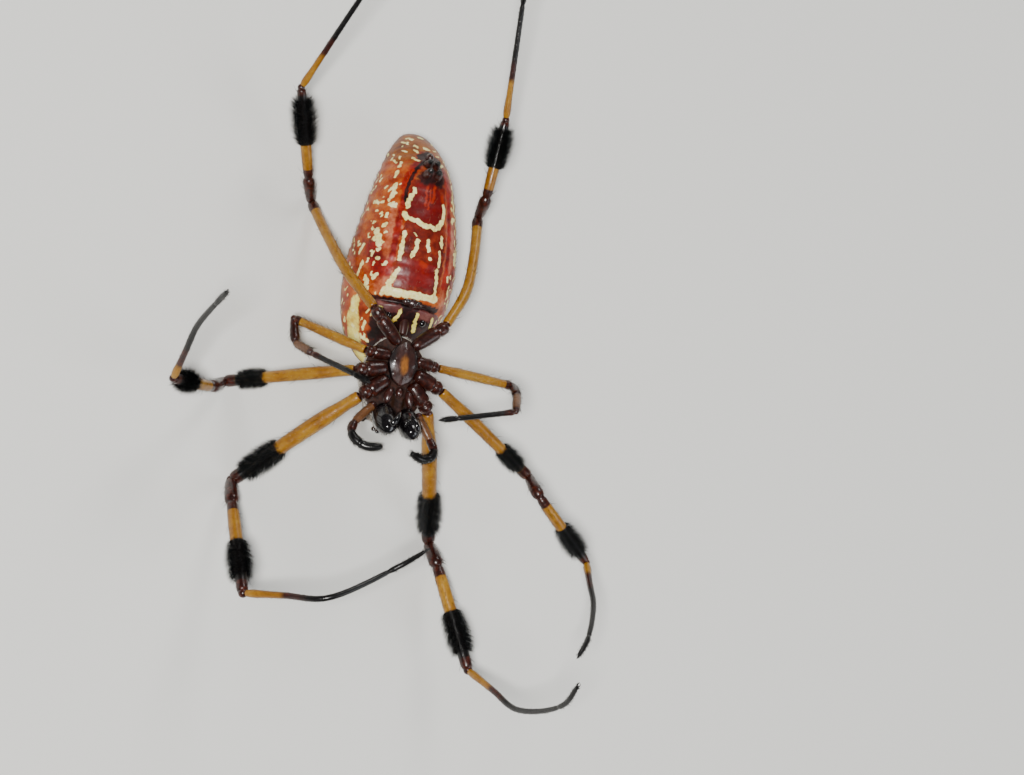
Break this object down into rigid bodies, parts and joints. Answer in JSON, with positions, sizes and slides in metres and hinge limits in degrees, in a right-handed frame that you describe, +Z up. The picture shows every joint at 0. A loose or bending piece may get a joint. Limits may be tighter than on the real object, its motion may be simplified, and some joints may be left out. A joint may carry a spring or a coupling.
{
  "type": "golden silk orb weaver",
  "caption": "Life-size model of a golden silk orb weaver hanging belly outwards, long legs spread, head low.",
  "frame": {"origin": "middle of the small flat on the abdomen's back, on the level of the surface that the spider lies on", "axes": "+Z up through the belly, the head points to -Y, the spider's left is -X"},
  "size_m": [0.0495, 0.0729, 0.0242],
  "materials": {
    "carapace": "dark brown cuticle under fine silvery hair",
    "dark_shell": "glossy dark red-brown cuticle",
    "abdomen": "satin skin, orange-brown and red with cream spots, bars and bands",
    "femur": "amber, slightly translucent glossy cuticle",
    "tibia": "brown, yellow and black bands with bristle brushes",
    "foot": "orange-brown turning black, satin",
    "jaw": "polished black",
    "eye": "polished black dome"
  },
  "bodies": {
    "root": {"carapace": "carapace", "sternum": "dark_shell", "labium": "dark_shell", "pedicel": "dark_shell", "abdomen": "abdomen", "epigynum": "dark_shell", "anal_tubercle": "dark_shell", "maxilla_left": "dark_shell", "chelicera_left": "jaw", "fang_left": "jaw", "palp_left": "tibia", "eye_anterior_median_left": "eye", "eye_posterior_median_left": "eye", "eye_anterior_lateral_left": "eye", "eye_posterior_lateral_left": "eye", "spinneret_anterior_left": "dark_shell", "spinneret_posterior_left": "dark_shell", "leg_1_left_coxa": "dark_shell", "leg_1_left_femur": "femur", "leg_1_left_tibia": "tibia", "leg_1_left_foot": "foot", "leg_2_left_coxa": "dark_shell", "leg_2_left_femur": "femur", "leg_2_left_tibia": "tibia", "leg_2_left_foot": "foot", "leg_3_left_coxa": "dark_shell", "leg_3_left_femur": "femur", "leg_3_left_tibia": "tibia", "leg_3_left_foot": "foot", "leg_4_left_coxa": "dark_shell", "leg_4_left_femur": "femur", "leg_4_left_tibia": "tibia", "leg_4_left_foot": "foot", "maxilla_right": "dark_shell", "chelicera_right": "jaw", "fang_right": "jaw", "palp_right": "tibia", "eye_anterior_median_right": "eye", "eye_posterior_median_right": "eye", "eye_anterior_lateral_right": "eye", "eye_posterior_lateral_right": "eye", "spinneret_anterior_right": "dark_shell", "spinneret_posterior_right": "dark_shell", "leg_1_right_coxa": "dark_shell", "leg_1_right_femur": "femur", "leg_1_right_tibia": "tibia", "leg_1_right_foot": "foot", "leg_2_right_coxa": "dark_shell", "leg_2_right_femur": "femur", "leg_2_right_tibia": "tibia", "leg_2_right_foot": "foot", "leg_3_right_coxa": "dark_shell", "leg_3_right_femur": "femur", "leg_3_right_tibia": "tibia", "leg_3_right_foot": "foot", "leg_4_right_coxa": "dark_shell", "leg_4_right_femur": "femur", "leg_4_right_tibia": "tibia", "leg_4_right_foot": "foot"}
  },
  "joints": []
}
